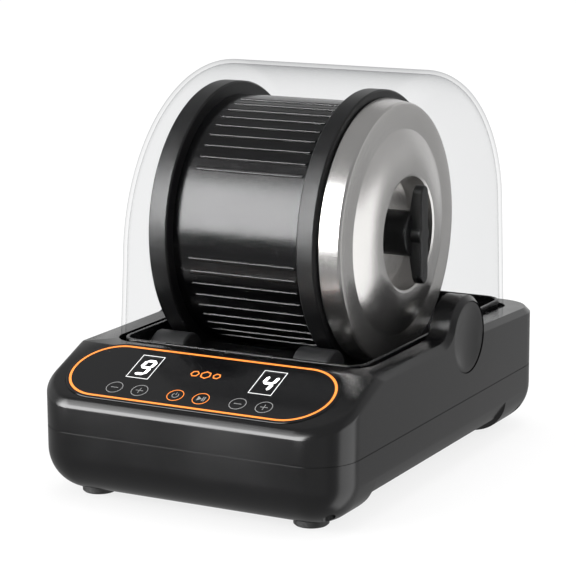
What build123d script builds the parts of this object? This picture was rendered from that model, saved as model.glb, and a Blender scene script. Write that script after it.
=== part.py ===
from build123d import *
import os
from math import acos, atan2, cos, radians, sin, sqrt, tan

# Rotary rock tumbler. Millimetres. The origin is the centre of the base's footprint on the
# table, +Z is up, the control panel faces -Y and the barrel lies along X.

# ---------------------------------------------------------------- driving dimensions
ring_radius = 75.0  # running rings of the barrel
barrel_radius = 67.8
axis_y = 21.5  # barrel axis, behind the middle of the base
axis_z = 122.8

base_width = 176.0
base_depth = 257.0
base_corner = 24.4  # plan radius of the base's corners
base_bottom = 2.4
bottom_round = 22.0
seam_z = 36.0  # parting line of the two housing halves
rim_z = 71.6  # top of the rails round the well
rail_back_z = 67.6  # behind the ears the rails fall gently to this height
wall = 2.6
edge_bevel = 2.9

well_half_x = 74.5
well_half_y = 94.4
well_corner = 14.0
groove_width = 3.7  # gap round the tray that takes the hood's edge
groove_floor = 66.5
tray_floor = 41.0
tray_wall = 2.0

panel_slope = 22.0
panel_key_y = -114.4  # the row of touch keys on the sloping face
panel_key_z = 58.9
panel_x = -2.0  # the panel sits slightly left of the middle
panel_half = 76.3  # half length of the stadium-shaped panel
panel_rise = 0.5  # the panel stands this proud of the sloping deck

roller_radius = 11.0
roller_angle = 42.5  # from straight below the barrel's axis
shaft_radius = 3.0

hood_top = 208.8
hood_wall = 2.2
hood_play = 0.8

ear_y = 25.2  # raised ears of the rails, round the release buttons
ear_z = 69.3
ear_radius = 22.2
button_radius = 18.9

running_gap = 0.05
past_top = 80.0  # cuts and blocks of this height pass right through the base's top

# ---------------------------------------------------------------- derived places
half_w = base_width / 2
half_d = base_depth / 2
slope = radians(panel_slope)

yz_middle = Plane(origin=(0, 0, 0), x_dir=(0, 1, 0), z_dir=(1, 0, 0))
xz_middle = Plane(origin=(0, 0, 0), x_dir=(1, 0, 0), z_dir=(0, -1, 0))

# The barrel's own profiles are drawn as (x, radius) on this plane and turned about its axis.
barrel_plane = Plane(origin=(0, axis_y, axis_z), x_dir=(1, 0, 0), z_dir=(0, -1, 0))
barrel_axis = Axis((0, axis_y, axis_z), (1, 0, 0))

# Top face of the control panel: local X runs to the right and local Y up the slope.
panel_plane = Plane(
    origin=(0, panel_key_y, panel_key_z), x_dir=(1, 0, 0), z_dir=(0, -sin(slope), cos(slope))
)

shaft_reach = ring_radius + roller_radius + running_gap
shaft_y = shaft_reach * sin(radians(roller_angle))
shaft_z = axis_z - shaft_reach * cos(radians(roller_angle))
drive_y = axis_y - shaft_y
idler_y = axis_y + shaft_y

os.makedirs("parts", exist_ok=True)


def across(x, y, z):
    """Plane square to X at the given point: local X is +Y and local Y is +Z."""
    return Plane(origin=(x, y, z), x_dir=(0, 1, 0), z_dir=(1, 0, 0))


# ================================================================ base, fixed pieces
# ---------------------------------------------------------------- upper housing
ear_foot_front = 12.0  # blend radii where the ears rise from the rails
ear_foot_back = 7.0
front_edge_round = 4.0
seam_groove = 0.35
thin_band = 5.0  # every bevel face is narrower than this
groove_wall = 2.0
button_hole_play = 0.5
nose_radius = 2.0
nose_play = 0.3
pocket_depth = 1.6  # seat of the control panel
panel_play = 0.3
panel_center = 13.2  # middle of the panel, up the slope from the keys
panel_half_height = 23.7
panel_window = (100.0, 36.0)  # opening under the panel for the displays and touch springs
window_cut = 8.0
board_post_radius = 3.0
board_bore = 5.0  # depth of the board screws' holes
boss_radius = 4.4
screw_radius = 1.5
boss_places = [(76.0, -114.0), (-76.0, -114.0), (81.4, 104.0), (-81.4, 104.0)]
board_post_places = [(-54.0, -5.0), (54.0, -5.0), (-54.0, 31.0), (54.0, 31.0)]  # on the panel plane
board_depth = 9.6  # top of the control board, below the panel's face


def side_profile(inset, bottom):
    """Side view of the upper housing as a sketch on the middle plane, drawn in by inset."""
    front = -half_d + inset
    back = half_d - inset
    top = rim_z - inset
    drop = (panel_rise + inset) / cos(slope)
    front_top = panel_key_z - drop + (front - panel_key_y) * tan(slope)
    crest_y = panel_key_y + (top - panel_key_z + drop) / tan(slope)
    with BuildSketch(yz_middle) as profile:
        with BuildLine():
            Polyline(
                (back, rail_back_z - inset),
                (ear_y, top),
                (crest_y, top),
                (front, front_top),
                (front, bottom),
                (back, bottom),
                close=True,
            )
        make_face()
        with Locations((ear_y, ear_z)):
            Circle(ear_radius - inset)
        on_rail = profile.vertices().filter_by(lambda v: v.Y > rail_back_z - inset + 1).sort_by(Axis.X)
        fillet(on_rail[1], ear_foot_front)
        fillet(on_rail[2], ear_foot_back)
    return profile.sketch


def well_plan(grow, height):
    """Plan of the well's opening at a height, drawn out by grow."""
    with BuildSketch(Plane.XY.offset(height)) as plan:
        with Locations((0, axis_y)):
            RectangleRounded(2 * (well_half_x + grow), 2 * (well_half_y + grow), well_corner + grow)
    return plan.sketch


def seam_ring(bottom):
    """Thin ring round the outside of the housing that leaves half of the groove along the seam."""
    with BuildPart() as ring:
        with BuildSketch(Plane.XY.offset(bottom)):
            Rectangle(base_width + 2, base_depth + 2)
            RectangleRounded(
                base_width - 2 * seam_groove, base_depth - 2 * seam_groove, base_corner - seam_groove,
                mode=Mode.SUBTRACT,
            )
        extrude(amount=seam_groove)
    return ring.part


def is_bevel(face):
    """True for the long thin faces that the edge bevel leaves."""
    return face.center().Z > seam_z and face.area < thin_band * max(e.length for e in face.edges())


def meets_side_wall(edge, part):
    """True for an edge between the side wall of the upper housing and its top faces."""
    sides = [f for f in part.faces() if any(e.is_same(edge) for e in f.edges())]
    upright = [abs(f.normal_at(f.center()).Z) < 0.02 for f in sides]
    return edge.center().Z > seam_z + 1 and upright.count(True) == 1


with BuildPart() as upper_cavity:
    extrude(side_profile(wall, seam_z - 1), amount=half_w - wall, both=True)
    with BuildSketch(Plane.XY.offset(seam_z - 1)):
        RectangleRounded(base_width - 2 * wall, base_depth - 2 * wall, base_corner - wall)
    extrude(amount=past_top, mode=Mode.INTERSECT)
    extrude(well_plan(groove_wall, groove_floor), amount=past_top, mode=Mode.SUBTRACT)
    extrude(well_plan(groove_wall, seam_z - 1), amount=groove_floor - seam_z + 1)

with BuildPart() as upper_housing:
    extrude(side_profile(0, seam_z), amount=half_w, both=True)
    with BuildSketch(Plane.XY.offset(seam_z)):
        RectangleRounded(base_width, base_depth, base_corner)
    extrude(amount=past_top, mode=Mode.INTERSECT)
    rim_edges = upper_housing.edges().filter_by(lambda e: meets_side_wall(e, upper_housing.part))
    chamfer(rim_edges, edge_bevel)
    bevels = upper_housing.faces().filter_by(is_bevel)
    bevel_edges = ShapeList(
        e for e in upper_housing.edges() if sum(any(e.is_same(b) for b in f.edges()) for f in bevels) == 1
    )
    fillet(bevel_edges.filter_by(lambda e: e.center().Y < -half_d + base_corner), front_edge_round)
    add(upper_cavity.part, mode=Mode.SUBTRACT)
    add(seam_ring(seam_z), mode=Mode.SUBTRACT)
    extrude(well_plan(0, seam_z), amount=past_top, mode=Mode.SUBTRACT)
    # seat of the control panel, and the slot its flat cable passes through
    with BuildSketch(panel_plane.offset(-pocket_depth)):
        with Locations((panel_x, panel_center)):
            SlotOverall(2 * (panel_half + panel_play), 2 * (panel_half_height + panel_play))
    extrude(amount=10, mode=Mode.SUBTRACT)
    with BuildSketch(panel_plane):
        with Locations((0, panel_center)):
            Rectangle(*panel_window)
    extrude(amount=-window_cut, mode=Mode.SUBTRACT)
    with BuildSketch(panel_plane.offset(-board_depth)):
        with Locations(*board_post_places):
            Circle(board_post_radius)
    extrude(amount=board_depth - pocket_depth - 1)
    with BuildSketch(panel_plane.offset(-board_depth)):
        with Locations(*board_post_places):
            Circle(1 + running_gap)
    extrude(amount=board_bore, mode=Mode.SUBTRACT)
    with BuildSketch(Plane.XY.offset(seam_z)):
        with Locations(*boss_places[:2]):
            Circle(boss_radius)
    extrude(amount=20)
    with BuildSketch(Plane.XY.offset(seam_z)):
        with Locations(*boss_places[2:]):
            Circle(boss_radius)
    extrude(amount=rail_back_z - wall - seam_z + 0.5)
    with BuildSketch(Plane.XY.offset(seam_z)):
        with Locations(*boss_places):
            Circle(screw_radius + running_gap)
    extrude(amount=14, mode=Mode.SUBTRACT)
    for side in (-1, 1):
        with BuildSketch(across(side * half_w, ear_y, ear_z)):
            Circle(button_radius + button_hole_play)
        extrude(amount=-side * (wall + 0.1), mode=Mode.SUBTRACT)
        with BuildSketch(across(side * (well_half_x - 1), ear_y, ear_z + 2)):
            Circle(nose_radius + nose_play)
        extrude(amount=side * (groove_wall + 2), mode=Mode.SUBTRACT)

upper_housing.part.label = "upper_housing"
export_step(upper_housing.part, "parts/upper_housing.step")

# ---------------------------------------------------------------- lower housing
relief_edge = (88.0, 21.9)  # hand hold along each side, as (x, z) points from its upper edge inward
relief_turn = (82.0, 12.0)
relief_foot = (60.0, 3.4)
relief_front = -85.0
relief_back = 76.0
relief_end_taper = -35.0
floor_top = base_bottom + wall
foot_radius = 9.0
foot_height = 4.2
foot_boss_height = 6.0
foot_places = [(61.5, -104.4), (-61.5, -104.4), (61.5, 104.4), (-61.5, 104.4)]
post_places = [(50.0, -50.0), (-50.0, -50.0), (50.0, 92.0), (-50.0, 92.0)]
bracket_bolts = [(-46.5, -86.0), (-46.5, -104.0)]  # of the motor bracket, on bosses like the feet's
bracket_bore = 6.0
screw_seat = 30.0
screw_head_radius = 3.0
socket_place = (-45.0, 29.5)  # power socket in the back wall, as (x, z)
socket_radius = 4.5
socket_flange = (5.8, 0.8)


def side_relief(side, inset):
    """Solid that cuts the two facets of the hand hold into one side, moved inward by inset."""
    with BuildPart() as relief:
        for (x1, z1), (x2, z2) in ((relief_edge, relief_turn), (relief_turn, relief_foot)):
            run = Vector(x2 - x1, 0, z2 - z1)
            outward = Vector(side * -run.Z, 0, run.X).normalized()
            middle = Vector(side * (x1 + x2) / 2, (relief_front + relief_back) / 2, (z1 + z2) / 2)
            with BuildSketch(Plane(origin=middle - outward * inset, x_dir=(0, 1, 0), z_dir=outward)):
                Rectangle(relief_back - relief_front, 60)
            extrude(amount=20, taper=relief_end_taper)
    return relief.part


with BuildPart() as lower_cavity:
    with BuildSketch(Plane.XY.offset(floor_top)):
        RectangleRounded(base_width - 2 * wall, base_depth - 2 * wall, base_corner - wall)
    extrude(amount=seam_z - floor_top + 1)
    fillet(lower_cavity.faces().sort_by(Axis.Z)[0].edges(), bottom_round - wall)
    for side in (-1, 1):
        add(side_relief(side, wall), mode=Mode.SUBTRACT)
    with BuildSketch(Plane.XY.offset(floor_top)):
        with Locations(*foot_places):
            Circle(foot_radius + 2)
        with Locations(*bracket_bolts):
            Circle(5)
    extrude(amount=foot_boss_height, mode=Mode.SUBTRACT)
    with BuildSketch(Plane.XY.offset(floor_top)):
        with Locations(*post_places):
            Circle(boss_radius)
    extrude(amount=seam_z, mode=Mode.SUBTRACT)
    with BuildSketch(Plane.XY.offset(floor_top)):
        with Locations(*boss_places):
            Circle(boss_radius)
    extrude(amount=seam_z, mode=Mode.SUBTRACT)

with BuildPart() as lower_housing:
    with BuildSketch(Plane.XY.offset(base_bottom)):
        RectangleRounded(base_width, base_depth, base_corner)
    extrude(amount=seam_z - base_bottom)
    fillet(lower_housing.faces().sort_by(Axis.Z)[0].edges(), bottom_round)
    for side in (-1, 1):
        add(side_relief(side, 0), mode=Mode.SUBTRACT)
    add(lower_cavity.part, mode=Mode.SUBTRACT)
    add(seam_ring(seam_z - seam_groove), mode=Mode.SUBTRACT)
    with BuildSketch(Plane.XY.offset(seam_z)):
        with Locations(*post_places):
            Circle(boss_radius)
    extrude(amount=tray_floor - tray_wall - seam_z)
    with BuildSketch(Plane.XY):
        with Locations(*foot_places):
            Circle(foot_radius)
    extrude(amount=foot_height, mode=Mode.SUBTRACT)
    with BuildSketch(Plane.XY):
        with Locations(*boss_places):
            Circle(screw_head_radius + 0.4)
    extrude(amount=screw_seat, mode=Mode.SUBTRACT)
    with BuildSketch(Plane.XY.offset(screw_seat)):
        with Locations(*boss_places):
            Circle(screw_radius + 0.3)
    extrude(amount=seam_z, mode=Mode.SUBTRACT)
    with BuildSketch(Plane.XY.offset(floor_top + foot_boss_height)):
        with Locations(*bracket_bolts):
            Circle(screw_radius + running_gap)
    extrude(amount=-bracket_bore, mode=Mode.SUBTRACT)
    with BuildSketch(xz_middle.offset(-half_d)):
        with Locations(socket_place):
            Circle(socket_flange[0])
    extrude(amount=socket_flange[1], mode=Mode.SUBTRACT)
    with BuildSketch(xz_middle.offset(-half_d)):
        with Locations(socket_place):
            Circle(socket_radius)
    extrude(amount=wall + 1, mode=Mode.SUBTRACT)

lower_housing.part.label = "lower_housing"
export_step(lower_housing.part, "parts/lower_housing.step")

# ---------------------------------------------------------------- well tray
tray_half_x = well_half_x - groove_width
tray_half_y = well_half_y - groove_width
tray_corner = well_corner - groove_width
tray_rim = rim_z + 0.5
bush_radius = 5.0
cover_top = 64.6  # covers over the shafts, between the rollers
cover_ends = (-42.0, 15.0)
cover_half_y = 12.0
cover_wall = 2.0


def tray_block(inset, bottom, top):
    """Block with the tray's rounded plan, drawn in by inset, between two heights."""
    with BuildPart() as block:
        with BuildSketch(Plane.XY.offset(bottom)):
            with Locations((0, axis_y)):
                RectangleRounded(2 * (tray_half_x - inset), 2 * (tray_half_y - inset), tray_corner - inset)
        extrude(amount=top - bottom)
    return block.part


def shaft_cover(y, inset):
    """Rounded block over one shaft, drawn in by inset."""
    middle = (cover_ends[0] + cover_ends[1]) / 2
    length = cover_ends[1] - cover_ends[0]
    with BuildPart() as cover:
        with BuildSketch(Plane.XY.offset(tray_floor - tray_wall)):
            with Locations((middle, y)):
                RectangleRounded(length - 2 * inset, 2 * (cover_half_y - inset), 3.5 - inset)
        extrude(amount=cover_top - inset - tray_floor + tray_wall)
        fillet(cover.faces().sort_by(Axis.Z)[-1].edges(), 3 - inset)
    return cover.part


with BuildPart() as well_tray:
    add(tray_block(0, tray_floor - tray_wall, tray_rim))
    fillet(well_tray.faces().sort_by(Axis.Z)[0].edges(), 3)
    add(tray_block(-groove_width - groove_wall, groove_floor - tray_wall, groove_floor))
    add(tray_block(tray_wall, tray_floor, tray_rim + 1), mode=Mode.SUBTRACT)
    fillet(well_tray.faces().sort_by(Axis.Z)[-1].edges(), 0.6)
    for y in (drive_y, idler_y):
        add(shaft_cover(y, 0))
        add(shaft_cover(y, cover_wall), mode=Mode.SUBTRACT)
        with BuildSketch(across(cover_ends[0] - 1, y, shaft_z)):
            Circle(shaft_radius + 0.6)
        extrude(amount=cover_ends[1] - cover_ends[0] + 2, mode=Mode.SUBTRACT)
        for side in (-1, 1):
            with BuildSketch(across(side * (tray_half_x + 1), y, shaft_z)):
                Circle(bush_radius + running_gap)
            extrude(amount=-side * (tray_wall + 2), mode=Mode.SUBTRACT)

well_tray.part.label = "well_tray"
export_step(well_tray.part, "parts/well_tray.step")

# ---------------------------------------------------------------- shaft bearings
bush_flange = (6.5, 1.2)
bush_length = 4.6

with BuildPart() as shaft_bearings:
    for y in (drive_y, idler_y):
        for side in (-1, 1):
            inner_face = side * (tray_half_x - tray_wall - bush_flange[1])
            with BuildSketch(across(inner_face, y, shaft_z)):
                Circle(bush_flange[0])
            extrude(amount=side * bush_flange[1])
            with BuildSketch(across(inner_face, y, shaft_z)):
                Circle(bush_radius)
            extrude(amount=side * bush_length)
            with BuildSketch(across(inner_face, y, shaft_z)):
                Circle(shaft_radius + running_gap)
            extrude(amount=side * bush_length, mode=Mode.SUBTRACT)

shaft_bearings.part.label = "shaft_bearings"
export_step(shaft_bearings.part, "parts/shaft_bearings.step")

# ---------------------------------------------------------------- feet and housing screws
with BuildPart() as rubber_feet:
    with BuildSketch(Plane.XY):
        with Locations(*foot_places):
            Circle(foot_radius - running_gap)
    extrude(amount=foot_height)
    chamfer(rubber_feet.faces().filter_by(lambda f: f.center().Z < 0.1).edges(), 0.7)

rubber_feet.part.label = "rubber_feet"
export_step(rubber_feet.part, "parts/rubber_feet.step")

screw_head_height = 2.4
screw_length = 19.0


def socket_screw(x, y, seat, head_radius, shank_radius, head_height, length):
    """Socket-headed screw standing on its head, with the head's shoulder at height seat."""
    with BuildPart() as screw:
        with BuildSketch(Plane.XY.offset(seat - head_height)):
            with Locations((x, y)):
                Circle(head_radius)
        extrude(amount=head_height)
        with BuildSketch(Plane.XY.offset(seat)):
            with Locations((x, y)):
                Circle(shank_radius)
        extrude(amount=length)
        with BuildSketch(Plane.XY.offset(seat - head_height)):
            with Locations((x, y)):
                RegularPolygon(0.55 * head_radius, 6)
        extrude(amount=0.6 * head_height, mode=Mode.SUBTRACT)
    return screw.part


with BuildPart() as housing_screws:
    for x, y in boss_places:
        add(socket_screw(x, y, screw_seat, screw_head_radius, screw_radius, screw_head_height, screw_length))

housing_screws.part.label = "housing_screws"
export_step(housing_screws.part, "parts/housing_screws.step")

# ---------------------------------------------------------------- control panel
ring_half_length = 74.0  # centre line of the coloured ring
ring_end_radius = 21.4
ring_line = 1.3
ring_depth = 0.5
display_x = 35.4
display_y = 19.3
display_size = (13.0, 19.5)
display_face = 0.35  # the display stands this far below the panel's face

with BuildPart() as control_panel:
    with BuildSketch(panel_plane.offset(-pocket_depth)):
        with Locations((panel_x, panel_center)):
            SlotOverall(2 * panel_half, 2 * panel_half_height)
    extrude(amount=pocket_depth)
    fillet(control_panel.faces().sort_by(Axis((0, 0, 0), (0, -sin(slope), cos(slope))))[-1].edges(), 0.4)
    with BuildSketch(panel_plane.offset(-ring_depth)):
        with Locations((panel_x, panel_center)):
            SlotOverall(2 * ring_half_length + ring_line, 2 * ring_end_radius + ring_line)
            SlotOverall(2 * ring_half_length - ring_line, 2 * ring_end_radius - ring_line, mode=Mode.SUBTRACT)
    extrude(amount=ring_depth, mode=Mode.SUBTRACT)
    with BuildSketch(panel_plane.offset(-pocket_depth)):
        with Locations((panel_x - display_x, display_y), (panel_x + display_x, display_y)):
            Rectangle(*display_size)
    extrude(amount=pocket_depth, mode=Mode.SUBTRACT)

control_panel.part.label = "control_panel"
export_step(control_panel.part, "parts/control_panel.step")

with BuildPart() as panel_ring:
    with BuildSketch(panel_plane.offset(-ring_depth)):
        with Locations((panel_x, panel_center)):
            SlotOverall(2 * ring_half_length + ring_line, 2 * ring_end_radius + ring_line)
            SlotOverall(2 * ring_half_length - ring_line, 2 * ring_end_radius - ring_line, mode=Mode.SUBTRACT)
    extrude(amount=ring_depth)

panel_ring.part.label = "panel_ring"
export_step(panel_ring.part, "parts/panel_ring.step")


def display_module(x):
    """One single-digit display, from the control board up into the panel's window."""
    with BuildPart() as module:
        with BuildSketch(panel_plane.offset(-board_depth)):
            with Locations((panel_x + x, display_y)):
                Rectangle(display_size[0] - 2 * running_gap, display_size[1] - 2 * running_gap)
        extrude(amount=board_depth - display_face)
    return module.part


with BuildPart() as days_display:
    add(display_module(-display_x))

days_display.part.label = "days_display"
export_step(days_display.part, "parts/days_display.step")

with BuildPart() as speed_display:
    add(display_module(display_x))

speed_display.part.label = "speed_display"
export_step(speed_display.part, "parts/speed_display.step")

# ---------------------------------------------------------------- control board
board_size = (116.0, 44.0)
board_thickness = 1.6
board_screw = (2.0, 1.0, 1.4, 5.5)  # head radius, shank radius, head height, shank length
board_chips = [(-30.0, 8.0, 12.0, 12.0, 2.2), (4.0, 10.0, 9.0, 9.0, 1.6), (34.0, 4.0, 14.0, 10.0, 6.0)]

with BuildPart() as control_board:
    with BuildSketch(panel_plane.offset(-board_depth)):
        with Locations((0, panel_center)):
            Rectangle(*board_size)
    extrude(amount=-board_thickness)
    for x, y, width, height, thickness in board_chips:
        with BuildSketch(panel_plane.offset(-board_depth - board_thickness)):
            with Locations((x, y)):
                Rectangle(width, height)
        extrude(amount=-thickness)
    with BuildSketch(panel_plane.offset(-board_depth)):
        with Locations(*board_post_places):
            Circle(board_screw[1] + 0.2)
    extrude(amount=-board_thickness, mode=Mode.SUBTRACT)

control_board.part.label = "control_board"
export_step(control_board.part, "parts/control_board.step")

with BuildPart() as board_screws:
    under_board = panel_plane.offset(-board_depth - board_thickness)
    with BuildSketch(under_board):
        with Locations(*board_post_places):
            Circle(board_screw[0])
    extrude(amount=-board_screw[2])
    with BuildSketch(under_board):
        with Locations(*board_post_places):
            Circle(board_screw[1])
    extrude(amount=board_screw[3])

board_screws.part.label = "board_screws"
export_step(board_screws.part, "parts/board_screws.step")

# ---------------------------------------------------------------- power socket
socket_depth = 11.0

with BuildPart() as power_socket:
    with BuildSketch(xz_middle.offset(-half_d + socket_flange[1])):
        with Locations(socket_place):
            Circle(socket_flange[0] - running_gap)
    extrude(amount=-socket_flange[1])
    with BuildSketch(xz_middle.offset(-half_d + socket_flange[1])):
        with Locations(socket_place):
            Circle(socket_radius - running_gap)
    extrude(amount=socket_depth)
    with BuildSketch(xz_middle.offset(-half_d)):
        with Locations(socket_place):
            Circle(2.8)
            Circle(0.8, mode=Mode.SUBTRACT)
    extrude(amount=socket_depth - 2, mode=Mode.SUBTRACT)

power_socket.part.label = "power_socket"
export_step(power_socket.part, "parts/power_socket.step")

# ================================================================ drive
# ---------------------------------------------------------------- motor and bracket
motor_y = -95.0
motor_z = 29.5
gearbox_radius = 16.0
gearbox_ends = (-70.0, -46.0)
can_radius = 13.8
can_end = -8.0
motor_boss = (5.0, 3.5)  # round boss on the gearbox face that fits the bracket: radius, height
motor_shaft_radius = 2.0
bracket_sheet = 1.9
bracket_gap = 0.05
bracket_half_y = 15.0
bracket_foot_end = -40.0
bracket_bottom = floor_top + foot_boss_height

with BuildPart() as motor:
    with BuildSketch(across(gearbox_ends[0], motor_y, motor_z)):
        Circle(gearbox_radius)
    extrude(amount=gearbox_ends[1] - gearbox_ends[0])
    fillet(motor.edges().sort_by(Axis.X)[-1], 1.5)
    with BuildSketch(across(gearbox_ends[1], motor_y, motor_z)):
        Circle(can_radius)
    extrude(amount=can_end - gearbox_ends[1])
    fillet(motor.edges().sort_by(Axis.X)[-1], 2.0)
    with BuildSketch(across(can_end, motor_y, motor_z)):
        Circle(5)
    extrude(amount=2.5)
    for z in (motor_z - 8.5, motor_z + 8.5):
        with BuildSketch(across(can_end - 0.5, motor_y, z)):
            Rectangle(3, 0.8)
        extrude(amount=6)
    with BuildSketch(across(gearbox_ends[0], motor_y, motor_z)):
        Circle(motor_boss[0])
    extrude(amount=-motor_boss[1])
    with BuildSketch(across(gearbox_ends[0] - motor_boss[1], motor_y, motor_z)):
        Circle(motor_shaft_radius + running_gap)
    extrude(amount=16, mode=Mode.SUBTRACT)

motor.part.label = "motor"
export_step(motor.part, "parts/motor.step")

bracket_face = gearbox_ends[0] - bracket_gap - bracket_sheet
bracket_height = motor_z + gearbox_radius + 1 - bracket_bottom
foot_length = bracket_foot_end - bracket_face

with BuildPart() as motor_bracket:
    with BuildSketch(across(bracket_face, motor_y, bracket_bottom + bracket_height / 2)):
        RectangleRounded(2 * bracket_half_y, bracket_height, 3)
    extrude(amount=bracket_sheet)
    with BuildSketch(Plane.XY.offset(bracket_bottom)):
        with Locations((bracket_face + foot_length / 2, motor_y)):
            Rectangle(foot_length, 2 * bracket_half_y - 6)
    extrude(amount=bracket_sheet)
    with BuildSketch(across(bracket_face, motor_y, motor_z)):
        Circle(motor_boss[0] + 0.1)
    extrude(amount=bracket_sheet, mode=Mode.SUBTRACT)
    with BuildSketch(Plane.XY.offset(bracket_bottom)):
        with Locations(*bracket_bolts):
            Circle(screw_radius + 0.1)
    extrude(amount=bracket_sheet, mode=Mode.SUBTRACT)

motor_bracket.part.label = "motor_bracket"
export_step(motor_bracket.part, "parts/motor_bracket.step")

with BuildPart() as bracket_screws:
    for x, y in bracket_bolts:
        with BuildSketch(Plane.XY.offset(bracket_bottom + bracket_sheet)):
            with Locations((x, y)):
                Circle(2.7)
        extrude(amount=1.2)
        with BuildSketch(Plane.XY.offset(bracket_bottom + bracket_sheet - 7)):
            with Locations((x, y)):
                Circle(screw_radius)
        extrude(amount=7)

bracket_screws.part.label = "bracket_screws"
export_step(bracket_screws.part, "parts/bracket_screws.step")

# ---------------------------------------------------------------- pulleys and belt
belt_x = -80.0
belt_width = 4.0
belt_thickness = 1.2
motor_seat = 5.0  # pulley radii under the belt
drive_seat = 7.8
flange_rise = 1.6
flange_thickness = 0.8
belt_side_play = 0.1


def pulley(y, z, seat, bore):
    """Flat-belt pulley with a flange at each end, bored for its shaft."""
    half = belt_width / 2 + belt_side_play
    with BuildPart() as wheel:
        with BuildSketch(across(belt_x, y, z)):
            Circle(seat)
            Circle(bore, mode=Mode.SUBTRACT)
        extrude(amount=half, both=True)
        for side in (-1, 1):
            with BuildSketch(across(belt_x + side * half, y, z)):
                Circle(seat + flange_rise)
                Circle(bore, mode=Mode.SUBTRACT)
            extrude(amount=side * flange_thickness)
    return wheel.part


def belt_outline(grow):
    """Side view of the belt's loop, grown outward from the pulley seats."""
    run_y = motor_y - drive_y
    run_z = motor_z - shaft_z
    centre_distance = sqrt(run_y**2 + run_z**2)
    along = atan2(run_z, run_y)
    lean = acos((drive_seat - motor_seat) / centre_distance)
    wheels = [(drive_y, shaft_z, drive_seat + grow), (motor_y, motor_z, motor_seat + grow)]
    corners = [
        (y + radius * cos(along + turn), z + radius * sin(along + turn))
        for turn in (lean, -lean)
        for y, z, radius in (wheels if turn > 0 else reversed(wheels))
    ]
    with BuildSketch(across(belt_x, 0, 0)) as outline:
        with BuildLine():
            Polyline(*corners, close=True)
        make_face()
        for y, z, radius in wheels:
            with Locations((y, z)):
                Circle(radius)
    return outline.sketch


with BuildPart() as motor_shaft:
    with BuildSketch(across(belt_x - belt_width, motor_y, motor_z)):
        Circle(motor_shaft_radius)
    extrude(amount=gearbox_ends[0] + 10 - belt_x + belt_width)

motor_shaft.part.label = "motor_shaft"
export_step(motor_shaft.part, "parts/motor_shaft.step")

with BuildPart() as motor_pulley:
    add(pulley(motor_y, motor_z, motor_seat, motor_shaft_radius))

motor_pulley.part.label = "motor_pulley"
export_step(motor_pulley.part, "parts/motor_pulley.step")

with BuildPart() as drive_pulley:
    add(pulley(drive_y, shaft_z, drive_seat, shaft_radius))

drive_pulley.part.label = "drive_pulley"
export_step(drive_pulley.part, "parts/drive_pulley.step")

with BuildPart() as drive_belt:
    extrude(belt_outline(running_gap + belt_thickness), amount=belt_width / 2, both=True)
    extrude(belt_outline(running_gap), amount=belt_width, both=True, mode=Mode.SUBTRACT)

drive_belt.part.label = "drive_belt"
export_step(drive_belt.part, "parts/drive_belt.step")

# ---------------------------------------------------------------- shafts and rollers
shaft_end = 73.5
drive_shaft_left = -83.9
roller_length = 21.0
left_roller_x = -55.7
right_roller_x = 30.0
roller_edge = 1.5


def shaft(y, left, right):
    """Plain steel shaft with chamfered ends."""
    with BuildPart() as rod:
        with BuildSketch(across(left, y, shaft_z)):
            Circle(shaft_radius)
        extrude(amount=right - left)
        chamfer(rod.edges().filter_by(GeomType.CIRCLE), 0.4)
    return rod.part


def roller(x, y):
    """Rubber roller sleeve pushed on to a shaft."""
    with BuildPart() as sleeve:
        with BuildSketch(across(x, y, shaft_z)):
            Circle(roller_radius)
        extrude(amount=roller_length / 2, both=True)
        fillet(sleeve.edges().filter_by(GeomType.CIRCLE), roller_edge)
        with BuildSketch(across(x, y, shaft_z)):
            Circle(shaft_radius)
        extrude(amount=roller_length, both=True, mode=Mode.SUBTRACT)
    return sleeve.part


with BuildPart() as drive_shaft:
    add(shaft(drive_y, drive_shaft_left, shaft_end))

drive_shaft.part.label = "drive_shaft"
export_step(drive_shaft.part, "parts/drive_shaft.step")

with BuildPart() as idler_shaft:
    add(shaft(idler_y, -shaft_end, shaft_end))

idler_shaft.part.label = "idler_shaft"
export_step(idler_shaft.part, "parts/idler_shaft.step")

with BuildPart() as drive_roller_left:
    add(roller(left_roller_x, drive_y))

drive_roller_left.part.label = "drive_roller_left"
export_step(drive_roller_left.part, "parts/drive_roller_left.step")

with BuildPart() as drive_roller_right:
    add(roller(right_roller_x, drive_y))

drive_roller_right.part.label = "drive_roller_right"
export_step(drive_roller_right.part, "parts/drive_roller_right.step")

with BuildPart() as idler_roller_left:
    add(roller(left_roller_x, idler_y))

idler_roller_left.part.label = "idler_roller_left"
export_step(idler_roller_left.part, "parts/idler_roller_left.step")

with BuildPart() as idler_roller_right:
    add(roller(right_roller_x, idler_y))

idler_roller_right.part.label = "idler_roller_right"
export_step(idler_roller_right.part, "parts/idler_roller_right.step")

# ================================================================ barrel
# ---------------------------------------------------------------- barrel shell
ring_left = -61.3
ring_width = 11.1
collar_left = 26.2
mouth_x = 36.2
shell_left = -60.0
shell_wall = 3.0
rib_ends = (-41.8, 21.8)
rib_width = 2.4
rib_height = 0.75
rib_root = 1.0  # how far a rib reaches into the shell's wall
ribs_per_group = 9
rib_pitch = 6.1
first_group = 57.0  # middle of one group, in degrees from straight ahead and upward


def turned(profile):
    """Solid of revolution about the barrel's axis from (x, radius) points."""
    with BuildPart() as solid:
        with BuildSketch(barrel_plane):
            with BuildLine():
                Polyline(*profile, close=True)
            make_face()
        revolve(axis=barrel_axis)
    return solid.part


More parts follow.
